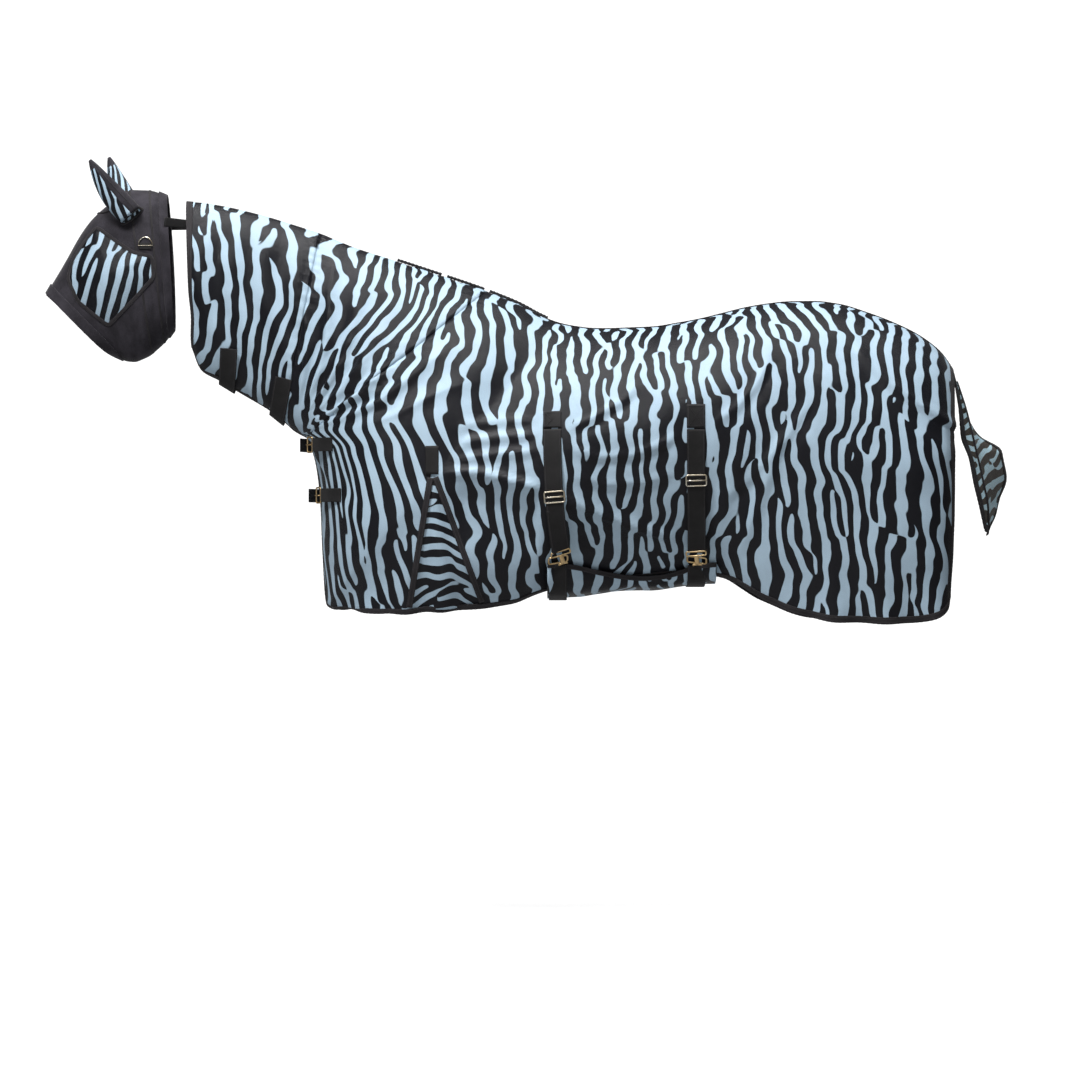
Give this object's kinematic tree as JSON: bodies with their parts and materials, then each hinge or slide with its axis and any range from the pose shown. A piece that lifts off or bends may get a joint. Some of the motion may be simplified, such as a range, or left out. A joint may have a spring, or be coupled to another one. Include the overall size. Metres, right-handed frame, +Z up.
{
  "type": "fly sheet",
  "caption": "Zebra striped mesh fly sheet for a horse with neck cover, eared fly mask, belly flap, tail flap and two webbing straps that hook to the belly flap.",
  "frame": {"origin": "where the sheet rests on the withers, on the middle plane", "axes": "+X towards the tail, +Y towards the horse's right side, +Z up"},
  "size_m": [2.6942, 0.6614, 1.3117],
  "materials": {
    "mesh_cloth": "light blue and dark striped mesh cloth",
    "binding": "woven polyester tape",
    "webbing": "flat polypropylene webbing",
    "mask_fleece": "soft stretch fleece",
    "nickel": "nickel plated"
  },
  "bodies": {
    "sheet": {"neck_front_panel_left": "mesh_cloth", "neck_rear_panel_left": "mesh_cloth", "body_panel_left": "mesh_cloth", "shoulder_gusset_left": "mesh_cloth", "neck_binding_left": "binding", "hem_binding_left": "binding", "gusset_tape_front_left": "binding", "gusset_tape_rear_left": "binding", "apex_patch_left": "binding", "neck_front_panel_right": "mesh_cloth", "neck_rear_panel_right": "mesh_cloth", "body_panel_right": "mesh_cloth", "shoulder_gusset_right": "mesh_cloth", "neck_binding_right": "binding", "hem_binding_right": "binding", "gusset_tape_front_right": "binding", "gusset_tape_rear_right": "binding", "apex_patch_right": "binding", "spine_tape": "binding", "crest_elastic_front": "webbing", "crest_elastic_rear": "webbing", "strap_box_front": "webbing", "strap_box_rear": "webbing", "chest_billet_upper": "webbing", "chest_tab_upper": "webbing", "chest_buckle_upper": "nickel", "chest_billet_lower": "webbing", "chest_tab_lower": "webbing", "chest_buckle_lower": "nickel"},
    "front_strap": {"surcingle_strap_front": "webbing"},
    "front_slider": {"slider_front": "nickel"},
    "front_hook": {"strap_hook_front": "nickel"},
    "rear_strap": {"surcingle_strap_rear": "webbing"},
    "rear_slider": {"slider_rear": "nickel"},
    "rear_hook": {"strap_hook_rear": "nickel"},
    "flap": {"belly_flap": "mesh_cloth", "belly_flap_binding": "binding", "belly_webbing_front": "webbing", "belly_webbing_rear": "webbing", "eye_plate_front": "nickel", "eye_plate_rear": "nickel"},
    "upper_tongue": {"chest_tongue_upper": "nickel"},
    "lower_tongue": {"chest_tongue_lower": "nickel"},
    "front_throat_strap": {"throat_strap_front": "webbing"},
    "rear_throat_strap": {"throat_strap_rear": "webbing"},
    "tail": {"tail_flap": "mesh_cloth", "tail_flap_binding": "binding"},
    "mask": {"mask_shell": "mask_fleece", "nose_band": "mask_fleece", "mask_rear_band": "mask_fleece", "eye_mesh_left": "mesh_cloth", "eye_mesh_right": "mesh_cloth", "ear_left": "mesh_cloth", "ear_right": "mesh_cloth", "poll_strap_left": "webbing", "poll_strap_right": "webbing", "d_ring_tab_left": "mask_fleece", "d_ring_tab_right": "mask_fleece"},
    "left_ring": {"d_ring_left": "nickel"},
    "right_ring": {"d_ring_right": "nickel"}
  },
  "joints": [
    {"name": "front_strap_swing", "type": "hinge", "parent": "sheet", "child": "front_strap", "pos_m": [-0.0033, -0.3156, -0.3052], "axis": [-1, 0, 0], "range_deg": [0, 70]},
    {"name": "front_slider_travel", "type": "slide", "parent": "front_strap", "child": "front_slider", "axis": [-0.072, -0.124, 0.9897], "range_m": [-0.04, 0.05]},
    {"name": "front_hook_turn", "type": "hinge", "parent": "front_strap", "child": "front_hook", "pos_m": [0.0202, -0.2729, -0.6465], "axis": [-0.9659, -0.15, -0.211], "range_deg": [0, 50]},
    {"name": "rear_strap_swing", "type": "hinge", "parent": "sheet", "child": "rear_strap", "pos_m": [0.3911, -0.3273, -0.3063], "axis": [-1, 0, 0], "range_deg": [0, 70]},
    {"name": "rear_slider_travel", "type": "slide", "parent": "rear_strap", "child": "rear_slider", "axis": [-0.017, -0.243, 0.9699], "range_m": [-0.04, 0.05]},
    {"name": "rear_hook_turn", "type": "hinge", "parent": "rear_strap", "child": "rear_hook", "pos_m": [0.3945, -0.2204, -0.6489], "axis": [-0.9962, 0.064, 0.059], "range_deg": [0, 50]},
    {"name": "belly_flap_drop", "type": "hinge", "parent": "sheet", "child": "flap", "pos_m": [0.2462, 0.2608, -0.6401], "axis": [1, 0, 0], "range_deg": [0, 75]},
    {"name": "upper_chest_tongue_turn", "type": "hinge", "parent": "sheet", "child": "upper_tongue", "pos_m": [-0.6735, -0.1035, -0.3451], "axis": [0, -0.001, 1], "range_deg": [0, 110]},
    {"name": "lower_chest_tongue_turn", "type": "hinge", "parent": "sheet", "child": "lower_tongue", "pos_m": [-0.6495, -0.1135, -0.4861], "axis": [0, -0.001, 1], "range_deg": [0, 110]},
    {"name": "front_throat_strap_peel", "type": "hinge", "parent": "sheet", "child": "front_throat_strap", "pos_m": [-0.9058, 0.0429, -0.1546], "axis": [1, 0, 0], "range_deg": [0, 45]},
    {"name": "rear_throat_strap_peel", "type": "hinge", "parent": "sheet", "child": "rear_throat_strap", "pos_m": [-0.7623, 0.051, -0.2416], "axis": [1, 0, 0], "range_deg": [0, 50]},
    {"name": "tail_flap_lift", "type": "hinge", "parent": "sheet", "child": "tail", "pos_m": [1.117, 0, -0.1312], "axis": [0, -1, 0], "range_deg": [0, 80]},
    {"name": "mask_off", "type": "slide", "parent": "sheet", "child": "mask", "axis": [-1, 0, 0], "range_m": [0, 0.25]},
    {"name": "left_ring_swing", "type": "hinge", "parent": "mask", "child": "left_ring", "pos_m": [-1.1345, -0.099, 0.2089], "axis": [0.9956, 0.094, 0], "range_deg": [0, 100]},
    {"name": "right_ring_swing", "type": "hinge", "parent": "mask", "child": "right_ring", "pos_m": [-1.1345, 0.099, 0.2089], "axis": [-0.9956, 0.094, 0], "range_deg": [0, 100]}
  ]
}
